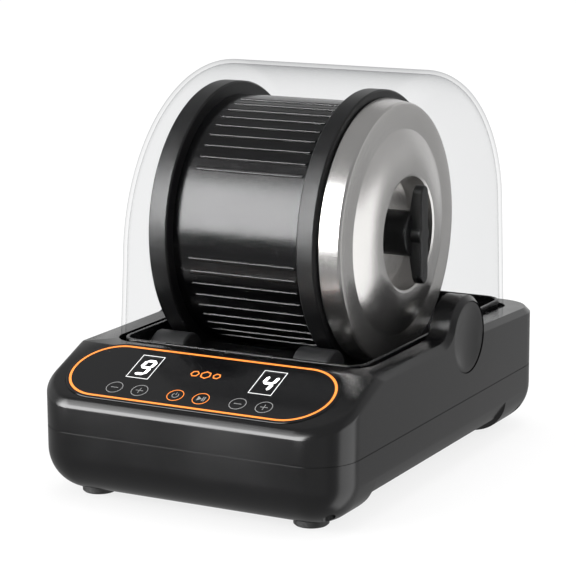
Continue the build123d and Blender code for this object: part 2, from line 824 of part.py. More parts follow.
def rib(angle):
    """One rounded ridge along the barrel, at an angle round the axis."""
    outward = Vector(0, -cos(radians(angle)), sin(radians(angle)))
    root = Vector(sum(rib_ends) / 2, axis_y, axis_z) + outward * (barrel_radius - rib_root)
    with BuildPart() as ridge:
        with BuildSketch(Plane(origin=root, x_dir=(1, 0, 0), z_dir=outward)):
            SlotOverall(rib_ends[1] - rib_ends[0], rib_width)
        extrude(amount=rib_root + rib_height)
        fillet(ridge.faces().sort_by(Axis((0, 0, 0), outward))[-1].edges(), rib_height - 0.1)
    return ridge.part


with BuildPart() as barrel_shell:
    add(turned([
        (shell_left, 0),
        (shell_left, barrel_radius),
        (mouth_x, barrel_radius),
        (mouth_x, barrel_radius - shell_wall),
        (shell_left + shell_wall, barrel_radius - shell_wall),
        (shell_left + shell_wall, 0),
    ]))
    for group in range(4):
        for step in range(ribs_per_group):
            offset_angle = (step - (ribs_per_group - 1) / 2) * rib_pitch
            add(rib(first_group + 90 * group + offset_angle))

barrel_shell.part.label = "barrel_shell"
export_step(barrel_shell.part, "parts/barrel_shell.step")

# ---------------------------------------------------------------- running rings
ring_bore = barrel_radius + running_gap
ring_edge = 0.8
ring_lip = 64.0  # the end ring's lip behind the shell's end wall

with BuildPart() as barrel_end_ring:
    add(turned([
        (ring_left, ring_lip),
        (ring_left, ring_radius - ring_edge),
        (ring_left + ring_edge, ring_radius),
        (ring_left + ring_width - ring_edge, ring_radius),
        (ring_left + ring_width, ring_radius - ring_edge),
        (ring_left + ring_width, ring_bore),
        (shell_left - running_gap, ring_bore),
        (shell_left - running_gap, ring_lip),
    ]))

barrel_end_ring.part.label = "barrel_end_ring"
export_step(barrel_end_ring.part, "parts/barrel_end_ring.step")

with BuildPart() as barrel_collar:
    add(turned([
        (collar_left, ring_bore),
        (collar_left, ring_radius - ring_edge),
        (collar_left + ring_edge, ring_radius),
        (mouth_x - ring_edge, ring_radius),
        (mouth_x, ring_radius - ring_edge),
        (mouth_x, ring_bore),
    ]))

barrel_collar.part.label = "barrel_collar"
export_step(barrel_collar.part, "parts/barrel_collar.step")

# ---------------------------------------------------------------- rubber liner
liner_wall = 4.0
liner_outer = barrel_radius - shell_wall - running_gap
liner_inner = liner_outer - liner_wall
liner_left = shell_left + shell_wall + running_gap
lip_radius = 70.4
lip_face = 37.2

with BuildPart() as barrel_liner:
    add(turned([
        (liner_left, 0),
        (liner_left, liner_outer),
        (mouth_x + running_gap, liner_outer),
        (mouth_x + running_gap, lip_radius),
        (lip_face, lip_radius),
        (lip_face, liner_inner),
        (liner_left + liner_wall, liner_inner),
        (liner_left + liner_wall, 0),
    ]))

barrel_liner.part.label = "barrel_liner"
export_step(barrel_liner.part, "parts/barrel_liner.step")

# ================================================================ lid
# ---------------------------------------------------------------- steel lid
lid_sheet = 1.2
bead_x = 47.1
bead_radius = 68.2
flat_x = 48.6
flat_outer = 66.4
flat_inner = 55.0
crest_x = 54.4
crest_radius = 31.6
cone_swell = 1.1  # the cone bulges this much between flat and crest
well_radius = 29.0
well_floor = 40.5
lid_skirt_radius = 70.8
stud_radius = 4.0
stud_hole = stud_radius + 0.1
bead_round = 0.9

with BuildPart() as steel_lid:
    with BuildSketch(barrel_plane):
        with BuildLine():
            skirt = Polyline((lip_face, lid_skirt_radius - lid_sheet), (lip_face, lid_skirt_radius),
                             (bead_x, bead_radius + bead_round))
            Polyline(skirt @ 1, (flat_x - 0.3, bead_radius), (flat_x, flat_outer), (flat_x, flat_inner))
            ThreePointArc(
                (flat_x, flat_inner),
                ((flat_x + crest_x) / 2 + cone_swell, (flat_inner + crest_radius) / 2),
                (crest_x, crest_radius),
            )
            Polyline(
                (crest_x, crest_radius),
                (crest_x - 0.6, crest_radius - 1.2),
                (well_floor, well_radius),
                (well_floor, stud_hole),
                (well_floor - lid_sheet, stud_hole),
                (well_floor - lid_sheet, well_radius + lid_sheet),
                (crest_x - 1.8, crest_radius - 0.2),
            )
            ThreePointArc(
                (crest_x - 1.8, crest_radius - 0.2),
                ((flat_x + crest_x) / 2 + cone_swell - 1.6, (flat_inner + crest_radius) / 2 - 0.4),
                (flat_x - lid_sheet, flat_inner),
            )
            Polyline(
                (flat_x - lid_sheet, flat_inner),
                (flat_x - lid_sheet, bead_radius - 1.6),
                (bead_x - 0.6, bead_radius - 0.4),
                (lip_face, lid_skirt_radius - lid_sheet),
            )
        make_face()
    revolve(axis=barrel_axis)

steel_lid.part.label = "steel_lid"
export_step(steel_lid.part, "parts/steel_lid.step")

# ---------------------------------------------------------------- gasket and inner plate
gasket_face = 38.7
gasket_outer = 68.2
plate_face = 41.7
plate_radius = 67.8
plug_radius = liner_inner - 0.35
plug_wall = 3.5
plug_left = 33.0
web_face = 36.0
hub_radius = 10.0

with BuildPart() as lid_gasket:
    add(turned([
        (lip_face, liner_inner + running_gap),
        (lip_face, gasket_outer),
        (gasket_face, gasket_outer),
        (gasket_face, liner_inner + running_gap),
    ]))

lid_gasket.part.label = "lid_gasket"
export_step(lid_gasket.part, "parts/lid_gasket.step")

with BuildPart() as inner_lid_plate:
    add(turned([
        (plug_left, stud_hole),
        (plug_left, plug_radius),
        (gasket_face, plug_radius),
        (gasket_face, plate_radius),
        (plate_face, plate_radius),
        (plate_face, plug_radius - plug_wall),
        (web_face, plug_radius - plug_wall),
        (web_face, hub_radius),
        (well_floor - lid_sheet, hub_radius),
        (well_floor - lid_sheet, stud_hole),
    ]))

inner_lid_plate.part.label = "inner_lid_plate"
export_step(inner_lid_plate.part, "parts/inner_lid_plate.step")

# ---------------------------------------------------------------- stud and washer
stud_end = 57.0
stud_head = (9.0, 2.0)
washer_radius = 10.0
washer_thickness = 1.0

with BuildPart() as clamp_stud:
    add(turned([
        (plug_left - stud_head[1], 0),
        (plug_left - stud_head[1], stud_head[0] - 0.8),
        (plug_left - stud_head[1] + 0.8, stud_head[0]),
        (plug_left, stud_head[0]),
        (plug_left, stud_radius),
        (stud_end - 0.8, stud_radius),
        (stud_end, stud_radius - 0.8),
        (stud_end, 0),
    ]))

clamp_stud.part.label = "clamp_stud"
export_step(clamp_stud.part, "parts/clamp_stud.step")

with BuildPart() as lid_washer:
    add(turned([
        (well_floor, stud_hole),
        (well_floor, washer_radius),
        (well_floor + washer_thickness, washer_radius),
        (well_floor + washer_thickness, stud_hole),
    ]))

lid_washer.part.label = "lid_washer"
export_step(lid_washer.part, "parts/lid_washer.step")

# ---------------------------------------------------------------- wing knob
knob_left = well_floor + washer_thickness + running_gap
stem_radius = 12.0
stem_end = 57.5
wing_length = 52.9
wing_width = 8.6
wing_face = 63.6
wing_depth = 8.0  # at the hub; the back of the wing slopes to the tips
wing_tip_depth = 4.7
hub_swell = 5.6
wing_edge = 1.2
insert_radius = 6.5
insert_length = 9.0
knob_bore_end = 58.0

with BuildPart() as wing_knob:
    with BuildSketch(across(wing_face - wing_depth, axis_y, axis_z)):
        SlotOverall(wing_length, wing_width, rotation=90)
        Circle(hub_swell)
    extrude(amount=wing_depth)
    fillet(wing_knob.faces().sort_by(Axis.X)[-1].edges(), wing_edge)
    # the sloping back of each wing
    for side in (-1, 1):
        with BuildSketch(xz_middle.offset(-axis_y)):
            with BuildLine():
                Polyline(
                    (wing_face - wing_depth - 1, axis_z + side * stem_radius / 2),
                    (wing_face - wing_depth, axis_z + side * stem_radius / 2),
                    (wing_face - wing_tip_depth, axis_z + side * wing_length / 2),
                    (wing_face - wing_tip_depth, axis_z + side * (wing_length / 2 + 1)),
                    (wing_face - wing_depth - 1, axis_z + side * (wing_length / 2 + 1)),
                    close=True,
                )
            make_face()
        extrude(amount=wing_width, both=True, mode=Mode.SUBTRACT)
    with BuildSketch(across(knob_left, axis_y, axis_z)):
        Circle(stem_radius)
    extrude(amount=stem_end - knob_left)
    fillet(
        wing_knob.edges().filter_by(GeomType.CIRCLE).filter_by(
            lambda e: abs(e.radius - stem_radius) < 0.01 and e.center().X > wing_face - wing_depth
        ),
        0.8,
    )
    with BuildSketch(across(knob_left, axis_y, axis_z)):
        Circle(stud_radius + 0.3)
    extrude(amount=knob_bore_end - knob_left, mode=Mode.SUBTRACT)
    with BuildSketch(across(knob_left, axis_y, axis_z)):
        Circle(insert_radius + running_gap)
    extrude(amount=insert_length + running_gap, mode=Mode.SUBTRACT)

wing_knob.part.label = "wing_knob"
export_step(wing_knob.part, "parts/wing_knob.step")

with BuildPart() as knob_insert:
    with BuildSketch(across(knob_left, axis_y, axis_z)):
        Circle(insert_radius)
        Circle(stud_radius + running_gap, mode=Mode.SUBTRACT)
    extrude(amount=insert_length)

knob_insert.part.label = "knob_insert"
export_step(knob_insert.part, "parts/knob_insert.step")

# ================================================================ hood and its releases
# ---------------------------------------------------------------- clear hood
hood_bottom = groove_floor + running_gap
hood_half_x = well_half_x - hood_play
hood_half_y = well_half_y - hood_play
hood_end_lean = radians(1.2)
hood_edge_round = well_corner - hood_play
hood_apex_y = axis_y + 2.1
hood_front_shoulder = (-91.0, 113.5)  # relative to the axis in Y, and the height
hood_back_shoulder = (92.6, 128.2)


def hood_block(inset, bottom):
    """Solid outline of the hood, drawn in by inset, from the given height up."""
    front_y = axis_y + hood_front_shoulder[0] + inset
    back_y = axis_y + hood_back_shoulder[0] - inset
    top = hood_top - inset
    foot_y = hood_half_y - inset
    with BuildPart() as block:
        with BuildSketch(yz_middle):
            with BuildLine():
                Polyline(
                    (back_y, hood_back_shoulder[1]),
                    (axis_y + foot_y, bottom),
                    (axis_y - foot_y, bottom),
                    (front_y, hood_front_shoulder[1]),
                )
                EllipticalCenterArc(
                    (hood_apex_y, hood_front_shoulder[1]),
                    hood_apex_y - front_y,
                    top - hood_front_shoulder[1],
                    start_angle=90,
                    arc_size=90,
                )
                EllipticalCenterArc(
                    (hood_apex_y, hood_back_shoulder[1]),
                    back_y - hood_apex_y,
                    top - hood_back_shoulder[1],
                    start_angle=0,
                    arc_size=90,
                )
            make_face()
        extrude(amount=half_w, both=True)
        foot_x = hood_half_x - inset
        crown_x = foot_x - (hood_top - bottom) * tan(hood_end_lean)
        with BuildSketch(xz_middle):
            with BuildLine():
                Polyline(
                    (-foot_x, bottom), (foot_x, bottom), (crown_x, hood_top), (-crown_x, hood_top),
                    close=True,
                )
            make_face()
        extrude(amount=base_depth, both=True, mode=Mode.INTERSECT)
        ends = block.faces().sort_by(Axis.X)
        end_edges = ends[0].edges() + ends[-1].edges()
        fillet(end_edges.filter_by(lambda e: e.center().Z > bottom + 1), hood_edge_round - inset)
    return block.part


with BuildPart() as clear_hood:
    add(hood_block(0, hood_bottom))
    add(hood_block(hood_wall, hood_bottom - 0.01), mode=Mode.SUBTRACT)

clear_hood.part.label = "clear_hood"
export_step(clear_hood.part, "parts/clear_hood.step")

# ---------------------------------------------------------------- hood release buttons
button_face = half_w - 0.5
button_thickness = 3.2
dish_depth = 1.7
dish_edge = 1.3  # flat rim left round the dish
tab_half_y = 9.0
tab_heights = (45.5, 54.0)
tab_thickness = 2.6
nose_tip = 76.0
nose_z = ear_z + 2
spring_mean_radius = 3.2
spring_wire = 0.35
spring_turns = 4


def release_button(side):
    """Dished push button with a nose for the hood and a tab that keeps it in the housing."""
    dish_radius = button_radius - dish_edge
    sphere_radius = (dish_radius**2 + dish_depth**2) / (2 * dish_depth)
    back = side * (button_face - button_thickness)
    with BuildPart() as button:
        with BuildSketch(across(back, ear_y, ear_z)):
            Circle(button_radius)
        extrude(amount=side * button_thickness)
        with BuildSketch(across(side * nose_tip, ear_y, nose_z)):
            Circle(nose_radius)
        extrude(amount=side * (abs(back) + 0.5 - nose_tip))
        with BuildSketch(across(side * (half_w - wall - running_gap), ear_y, sum(tab_heights) / 2)):
            Rectangle(2 * tab_half_y, tab_heights[1] - tab_heights[0])
        extrude(amount=-side * tab_thickness)
        with Locations((side * (button_face - dish_depth + sphere_radius), ear_y, ear_z)):
            Sphere(sphere_radius, mode=Mode.SUBTRACT)
    return button.part


def release_spring(side):
    """Coil spring round the button's nose, between the button and the rail's inner wall."""
    start = well_half_x + groove_wall
    length = button_face - button_thickness - start - 2 * spring_wire
    wire_start = (side * (start + spring_wire), ear_y, nose_z)
    with BuildPart() as spring:
        with BuildLine():
            coil = Helix(
                pitch=length / spring_turns,
                height=length,
                radius=spring_mean_radius,
                center=wire_start,
                direction=(side, 0, 0),
            )
        with BuildSketch(Plane(origin=coil @ 0, z_dir=coil % 0)):
            Circle(spring_wire)
        sweep(is_frenet=True)
    return spring.part


with BuildPart() as release_button_left:
    add(release_button(-1))

release_button_left.part.label = "release_button_left"
export_step(release_button_left.part, "parts/release_button_left.step")

with BuildPart() as release_button_right:
    add(release_button(1))

release_button_right.part.label = "release_button_right"
export_step(release_button_right.part, "parts/release_button_right.step")

with BuildPart() as release_spring_left:
    add(release_spring(-1))

release_spring_left.part.label = "release_spring_left"
export_step(release_spring_left.part, "parts/release_spring_left.step")

with BuildPart() as release_spring_right:
    add(release_spring(1))

release_spring_right.part.label = "release_spring_right"
export_step(release_spring_right.part, "parts/release_spring_right.step")
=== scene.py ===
import math

import bmesh
import bpy
from mathutils import Matrix, Vector


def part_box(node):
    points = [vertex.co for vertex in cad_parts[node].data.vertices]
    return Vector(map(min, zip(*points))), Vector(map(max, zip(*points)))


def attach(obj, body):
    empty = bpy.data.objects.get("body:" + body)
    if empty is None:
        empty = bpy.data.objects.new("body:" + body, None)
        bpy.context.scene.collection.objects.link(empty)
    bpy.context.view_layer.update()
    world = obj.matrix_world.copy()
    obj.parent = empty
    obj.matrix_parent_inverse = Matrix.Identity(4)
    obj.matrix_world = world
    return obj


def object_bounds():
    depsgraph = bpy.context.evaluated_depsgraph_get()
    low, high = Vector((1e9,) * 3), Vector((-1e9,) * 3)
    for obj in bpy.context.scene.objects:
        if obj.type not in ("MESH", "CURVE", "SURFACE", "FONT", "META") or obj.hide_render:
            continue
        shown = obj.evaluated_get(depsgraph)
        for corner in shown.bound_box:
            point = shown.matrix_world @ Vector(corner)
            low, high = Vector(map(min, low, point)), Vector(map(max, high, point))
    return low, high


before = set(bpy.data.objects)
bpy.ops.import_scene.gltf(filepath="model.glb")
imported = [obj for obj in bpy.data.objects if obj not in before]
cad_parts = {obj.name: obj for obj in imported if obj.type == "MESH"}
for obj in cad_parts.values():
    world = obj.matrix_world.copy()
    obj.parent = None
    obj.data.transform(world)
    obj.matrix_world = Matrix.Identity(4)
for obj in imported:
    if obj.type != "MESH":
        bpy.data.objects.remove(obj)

# Looks of the rotary rock tumbler. Metres, in the CAD's own frame: +Z up, the control panel
# faces -Y and the barrel lies along X with its lid at +X.

cad_low, cad_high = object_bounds()
mm = 0.001

# ---------------------------------------------------------------- places read from the CAD
ring_low, ring_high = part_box("barrel_end_ring")
axis_y = (ring_low.y + ring_high.y) / 2
axis_z = (ring_low.z + ring_high.z) / 2

panel_slope = math.radians(22.0)
trim_low, trim_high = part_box("panel_ring")
panel_up = Vector((0, math.cos(panel_slope), math.sin(panel_slope)))
panel_out = Vector((0, -math.sin(panel_slope), math.cos(panel_slope)))


# ================================================================ node helpers
def math_node(tree, operation, *values):
    """A math node in a tree; each value is a number or another node's output."""
    made = tree.nodes.new("ShaderNodeMath")
    made.operation = operation
    for socket, value in zip(made.inputs, values):
        if isinstance(value, (int, float)):
            socket.default_value = value
        else:
            tree.links.new(value, socket)
    return made.outputs[0]


class Shader:
    """A node material round one Principled shader."""

    def __init__(self, name, color, roughness, metallic=0.0):
        self.material = bpy.data.materials.new(name)
        self.material.use_nodes = True
        self.tree = self.material.node_tree
        self.main = self.tree.nodes["Principled BSDF"]
        self.main.inputs["Base Color"].default_value = (*color, 1)
        self.main.inputs["Roughness"].default_value = roughness
        self.main.inputs["Metallic"].default_value = metallic

    def node(self, kind, **settings):
        made = self.tree.nodes.new(kind)
        for key, value in settings.items():
            setattr(made, key, value)
        return made

    def link(self, source, target):
        self.tree.links.new(source, target)

    def math(self, operation, *values):
        return math_node(self.tree, operation, *values)

    def place(self):
        return self.node("ShaderNodeTexCoord").outputs["Object"]

    def noise(self, vector, scale, detail=2.0, roughness=0.5):
        made = self.node("ShaderNodeTexNoise")
        made.inputs["Scale"].default_value = scale
        made.inputs["Detail"].default_value = detail
        made.inputs["Roughness"].default_value = roughness
        self.link(vector, made.inputs["Vector"])
        return made.outputs["Fac"]

    def spread(self, value, low, high, from_low=0.3, from_high=0.7):
        """Maps a noise value to a range of results."""
        made = self.node("ShaderNodeMapRange")
        made.inputs["From Min"].default_value = from_low
        made.inputs["From Max"].default_value = from_high
        made.inputs["To Min"].default_value = low
        made.inputs["To Max"].default_value = high
        self.link(value, made.inputs["Value"])
        return made.outputs["Result"]

    def bump(self, height, distance, strength=1.0):
        made = self.node("ShaderNodeBump")
        made.inputs["Strength"].default_value = strength
        made.inputs["Distance"].default_value = distance
        self.link(height, made.inputs["Height"])
        self.link(made.outputs["Normal"], self.main.inputs["Normal"])

    def tint(self, value, dark, light):
        """Base colour that varies between two colours."""
        made = self.node("ShaderNodeMix", data_type="RGBA")
        made.inputs["A"].default_value = (*dark, 1)
        made.inputs["B"].default_value = (*light, 1)
        self.link(value, made.inputs["Factor"])
        self.link(made.outputs["Result"], self.main.inputs["Base Color"])


def moulded_plastic(name, color, roughness, grain=900.0, grain_depth=0.02 * mm, variation=0.05):
    """Moulded plastic with a fine spark-eroded grain and faintly uneven gloss."""
    s = Shader(name, color, roughness)
    place = s.place()
    fine = s.noise(place, grain, detail=3.0)
    broad = s.noise(place, 22.0, detail=3.0)
    s.bump(fine, grain_depth, 0.25)
    s.link(s.spread(broad, roughness - variation, roughness + variation), s.main.inputs["Roughness"])
    s.tint(broad, [0.88 * c for c in color], [1.12 * c for c in color])
    return s.material


def rubber(name, color, roughness=0.62):
    """Matte rubber with a soft mottled surface."""
    s = Shader(name, color, roughness)
    place = s.place()
    s.bump(s.noise(place, 1400.0, detail=4.0), 0.03 * mm, 0.6)
    mottle = s.noise(place, 90.0, detail=4.0)
    s.tint(mottle, [0.8 * c for c in color], [1.2 * c for c in color])
    s.link(s.spread(mottle, roughness - 0.08, roughness + 0.08), s.main.inputs["Roughness"])
    return s.material


def bare_metal(name, color, roughness, scratch=(1200.0, 30.0, 30.0)):
    """Machined metal with fine straight scratches along one direction."""
    s = Shader(name, color, roughness, metallic=1.0)
    mapping = s.node("ShaderNodeMapping")
    mapping.inputs["Scale"].default_value = scratch
    s.link(s.place(), mapping.inputs["Vector"])
    lines = s.noise(mapping.outputs["Vector"], 1.0, detail=4.0)
    s.bump(lines, 0.01 * mm, 0.5)
    s.link(s.spread(lines, roughness - 0.07, roughness + 0.1), s.main.inputs["Roughness"])
    s.tint(lines, [0.9 * c for c in color], color)
    return s.material


def spun_steel(name, color, roughness, anisotropy, lines_per_metre=1500.0, breaks_per_turn=0.5):
    """Stainless steel polished on a lathe: hair lines run round the barrel's axis."""
    s = Shader(name, color, roughness, metallic=0.93)
    split = s.node("ShaderNodeSeparateXYZ")
    s.link(s.place(), split.inputs[0])
    y = s.math("SUBTRACT", split.outputs["Y"], axis_y)
    z = s.math("SUBTRACT", split.outputs["Z"], axis_z)
    radius = s.math("SQRT", s.math("ADD", s.math("MULTIPLY", y, y), s.math("MULTIPLY", z, z)))
    across = s.math("MULTIPLY", s.math("SUBTRACT", radius, split.outputs["X"]), lines_per_metre)
    turn = s.math("MULTIPLY", s.math("ARCTAN2", z, y), breaks_per_turn)
    joined = s.node("ShaderNodeCombineXYZ")
    s.link(across, joined.inputs["X"])
    s.link(turn, joined.inputs["Y"])
    lines = s.noise(joined.outputs[0], 1.0, detail=5.0, roughness=0.7)
    broad = s.noise(s.place(), 30.0, detail=2.0)
    s.bump(lines, 0.002 * mm, 0.15)
    s.link(s.spread(lines, roughness - 0.03, roughness + 0.05), s.main.inputs["Roughness"])
    s.tint(s.spread(broad, 0.0, 1.0), [0.93 * c for c in color], color)
    s.main.inputs["Anisotropic"].default_value = anisotropy
    tangent = s.node("ShaderNodeTangent", direction_type="RADIAL", axis="X")
    s.link(tangent.outputs[0], s.main.inputs["Tangent"])
    return s.material


def glowing(name, color, strength):
    """Self-lit colour, a little uneven like a diffused lamp: a real lamp for display segments, a painted
    glow on print.
    """
    s = Shader(name, color, 0.4)
    uneven = s.noise(s.place(), 400.0)
    s.link(s.spread(uneven, 0.92 * strength, strength), s.main.inputs["Emission Strength"])
    s.main.inputs["Emission Color"].default_value = (*color, 1)
    return s.material


def clear_plastic(name):
    """Thin clear plastic: see-through face on, greyer and shinier towards its edges."""
    s = Shader(name, (1, 1, 1), 0.05)
    tree = s.tree
    facing = s.node("ShaderNodeLayerWeight")
    facing.inputs["Blend"].default_value = 0.5
    edge = s.math("POWER", facing.outputs["Facing"], 5.0)  # close to 1 only where seen edge on
    haze = s.noise(s.place(), 14.0)
    see = s.node("ShaderNodeBsdfTransparent")
    tone = s.node("ShaderNodeMix", data_type="RGBA")
    tone.inputs["A"].default_value = (0.955, 0.956, 0.957, 1)
    tone.inputs["B"].default_value = (0.6, 0.605, 0.61, 1)
    s.link(edge, tone.inputs["Factor"])
    s.link(tone.outputs["Result"], see.inputs["Color"])
    shine = s.node("ShaderNodeBsdfGlossy")
    s.link(s.spread(haze, 0.03, 0.08), shine.inputs["Roughness"])
    mix = s.node("ShaderNodeMixShader")
    s.link(s.math("MULTIPLY", edge, 0.012), mix.inputs[0])
    s.link(see.outputs[0], mix.inputs[1])
    s.link(shine.outputs[0], mix.inputs[2])
    output = tree.nodes["Material Output"]
    s.link(mix.outputs[0], output.inputs["Surface"])
    tree.nodes.remove(s.main)
    return s.material


# ================================================================ materials
housing_plastic = moulded_plastic("housing_plastic", (0.004, 0.004, 0.0043), 0.22)
tray_plastic = moulded_plastic("tray_plastic", (0.004, 0.004, 0.0043), 0.26)
barrel_plastic = moulded_plastic("barrel_plastic", (0.003, 0.003, 0.0033), 0.2, grain=700.0)
ring_plastic = moulded_plastic(
    "ring_plastic", (0.005, 0.005, 0.0053), 0.4, grain=1500.0, grain_depth=0.05 * mm
)
panel_gloss = moulded_plastic(
    "panel_gloss", (0.004, 0.004, 0.0045), 0.1, grain=300.0, grain_depth=0.002 * mm, variation=0.02
)
knob_plastic = moulded_plastic("knob_plastic", (0.004, 0.004, 0.0043), 0.3)
button_plastic = moulded_plastic("button_plastic", (0.004, 0.004, 0.0043), 0.2)
pale_plastic = moulded_plastic("pale_plastic", (0.62, 0.6, 0.55), 0.45)
board_green = moulded_plastic("board_green", (0.02, 0.12, 0.04), 0.4)
black_rubber = rubber("black_rubber", (0.008, 0.008, 0.008))
roller_rubber = rubber("roller_rubber", (0.022, 0.022, 0.023), 0.5)
lid_steel = spun_steel("lid_steel", (0.66, 0.645, 0.63), 0.22, 0.3)
shaft_steel = bare_metal("shaft_steel", (0.6, 0.6, 0.6), 0.25)
dull_steel = bare_metal("dull_steel", (0.45, 0.45, 0.46), 0.38)
insert_brass = bare_metal("insert_brass", (0.72, 0.5, 0.22), 0.3)
# The orange, white and key print colours below also glow: a painted glow standing in for light on the print.
# Only white_light is a lamp, for the display digits.
orange_print_painted_glow = glowing("orange_print_painted_glow", (1.0, 0.27, 0.04), 0.5)
white_print_painted_glow = glowing("white_print_painted_glow", (1.0, 1.0, 1.0), 0.3)
key_print_painted_glow = glowing("key_print_painted_glow", (0.3, 0.3, 0.3), 0.05)
white_light = glowing("white_light", (1.0, 1.0, 1.0), 1.6)
hood_clear = clear_plastic("hood_clear")

node_materials = {
    housing_plastic: ["upper_housing", "lower_housing"],
    tray_plastic: ["well_tray", "motor_pulley", "drive_pulley"],
    barrel_plastic: ["barrel_shell"],
    ring_plastic: ["barrel_end_ring", "barrel_collar", "inner_lid_plate", "power_socket"],
    panel_gloss: ["control_panel", "days_display", "speed_display"],
    knob_plastic: ["wing_knob"],
    button_plastic: ["release_button_left", "release_button_right"],
    pale_plastic: ["shaft_bearings"],
    board_green: ["control_board"],
    black_rubber: ["rubber_feet", "barrel_liner", "lid_gasket", "drive_belt"],
    roller_rubber: ["drive_roller_left", "drive_roller_right", "idler_roller_left", "idler_roller_right"],
    lid_steel: ["steel_lid"],
    shaft_steel: ["drive_shaft", "idler_shaft", "motor_shaft", "clamp_stud", "release_spring_left",
                  "release_spring_right"],
    dull_steel: ["housing_screws", "board_screws", "bracket_screws", "motor", "motor_bracket", "lid_washer"],
    insert_brass: ["knob_insert"],
    # The orange ring round the panel is print with a painted glow.
    orange_print_painted_glow: ["panel_ring"],
    hood_clear: ["clear_hood"],
}


crisp_edges = {"steel_lid": 13.0}  # the lid's flat rim meets its cone at a shallow edge


def smooth(piece, angle):
    """Rounds the shading of a CAD mesh, keeping edges sharper than the angle."""
    for polygon in piece.data.polygons:
        polygon.use_smooth = True
    if "custom_normal" in piece.data.attributes:
        piece.data.attributes.remove(piece.data.attributes["custom_normal"])
    weld = piece.modifiers.new("weld", "WELD")
    weld.merge_threshold = 0.001 * mm
    split = piece.modifiers.new("edges", "EDGE_SPLIT")
    split.split_angle = math.radians(angle)


for material, names in node_materials.items():
    for name in names:
        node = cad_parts[name]
        node.data.materials.clear()
        node.data.materials.append(material)
        smooth(node, crisp_edges.get(name, 32.0))


# ================================================================ panel graphics
def panel_matrix(lift):
    """Local X right, Y up the slope, Z out, with the origin in the middle of the panel's face."""
    middle = (trim_low + trim_high) / 2
    right = Vector((1, 0, 0))
    columns = Matrix((right, panel_up, panel_out)).transposed().to_4x4()
    return Matrix.Translation(middle + panel_out * (trim_depth / 2 + lift)) @ columns


trim_depth = 0.5 * mm


def outline_mesh(name, outlines, lift, material, body, thickness=0.12 * mm):
    """Thin raised print from closed 2-D outlines; each outline is (outer points, inner points or None)."""
    mesh = bpy.data.meshes.new(name)
    shape = bmesh.new()
    for outer, inner in outlines:
        outer_low = [shape.verts.new((x, y, 0)) for x, y in outer]
        outer_high = [shape.verts.new((x, y, thickness)) for x, y in outer]
        count = len(outer)
        for i in range(count):
            j = (i + 1) % count
            shape.faces.new((outer_low[i], outer_low[j], outer_high[j], outer_high[i]))
        if inner is None:
            shape.faces.new(outer_high)
        else:
            inner_low = [shape.verts.new((x, y, 0)) for x, y in inner]
            inner_high = [shape.verts.new((x, y, thickness)) for x, y in inner]
            for i in range(count):
                j = (i + 1) % count
                shape.faces.new((outer_high[i], outer_high[j], inner_high[j], inner_high[i]))
                shape.faces.new((inner_low[j], inner_low[i], inner_high[i], inner_high[j]))
    shape.to_mesh(mesh)
    shape.free()
    mesh.transform(panel_matrix(lift))
    piece = bpy.data.objects.new(name, mesh)
    bpy.context.scene.collection.objects.link(piece)
    mesh.materials.append(material)
    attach(piece, body)
    return piece


def circle(x, y, radius, count=48, start=0.0, turn=360.0):
    """Points round a circle or part of one."""
    return [
        (x + radius * math.cos(math.radians(start + turn * i / count)),
         y + radius * math.sin(math.radians(start + turn * i / count)))
        for i in range(count)
    ]


def ring(x, y, radius, line):
    return (circle(x, y, radius + line / 2), circle(x, y, radius - line / 2))


def bar(x, y, length, line, angle=0.0):
    """A thin straight bar centred at a point."""
    a = math.radians(angle)
    u, v = length / 2, line / 2
    corners = [(u, v), (-u, v), (-u, -v), (u, -v)]
    turned = [(p * math.cos(a) - q * math.sin(a), p * math.sin(a) + q * math.cos(a)) for p, q in corners]
    return ([(x + p, y + q) for p, q in turned], None)


def arc_band(x, y, radius, line, start, turn, count=24):
    """An open arc of constant width as one outline."""
    steps = [math.radians(start + turn * i / count) for i in range(count + 1)]
    outer, inner = radius + line / 2, radius - line / 2
    out = [(x + outer * math.cos(a), y + outer * math.sin(a)) for a in steps]
    back = [(x + inner * math.cos(a), y + inner * math.sin(a)) for a in reversed(steps)]
    return (out + back, None)


ring_center = 13.2 * mm  # the panel's middle lies this far up the slope from the keys
key_y = -ring_center
key_radius = 4.35 * mm
key_line = 0.34 * mm
mark = 4.2 * mm
left_keys = [(-42.9 * mm, "minus"), (-28.2 * mm, "plus")]
right_keys = [(28.2 * mm, "minus"), (42.9 * mm, "plus")]


def sign(x, kind):
    """A plus or minus mark inside a key."""
    shapes = [bar(x, key_y, mark, key_line)]
    if kind == "plus":
        shapes.append(bar(x, key_y, mark, key_line, 90))
    return shapes


# The key rings and plus and minus marks are grey print with a faint painted glow.
white_shapes = []
for key_x, kind in left_keys + right_keys:
    white_shapes.append(ring(key_x, key_y, key_radius, key_line))
    white_shapes.extend(sign(key_x, kind))
outline_mesh("key_marks", white_shapes, 0.0, key_print_painted_glow, "base")

power_x = -7.3 * mm
play_x = 7.3 * mm
# The orange rings round the power and play keys are print with a painted glow.
orange_shapes = [ring(power_x, key_y, key_radius, key_line), ring(play_x, key_y, key_radius, key_line)]
outline_mesh("key_rings_painted_glow", orange_shapes, 0.0, orange_print_painted_glow, "base")
# The power and play symbols are grey print with a faint painted glow.
symbol_shapes = [
    arc_band(power_x, key_y, 1.75 * mm, key_line, 130, 280),
    bar(power_x, key_y + 1.3 * mm, 2.0 * mm, key_line, 90),
    ([(play_x + p * mm, key_y + q * mm) for p, q in ((-1.9, 1.7), (-1.9, -1.7), (0.5, 0.0))], None),
    bar(play_x + 1.1 * mm, key_y, 3.3 * mm, 0.5 * mm, 90),
    bar(play_x + 2.1 * mm, key_y, 3.3 * mm, 0.5 * mm, 90),
]
outline_mesh("key_symbols", symbol_shapes, 0.0, key_print_painted_glow, "base")

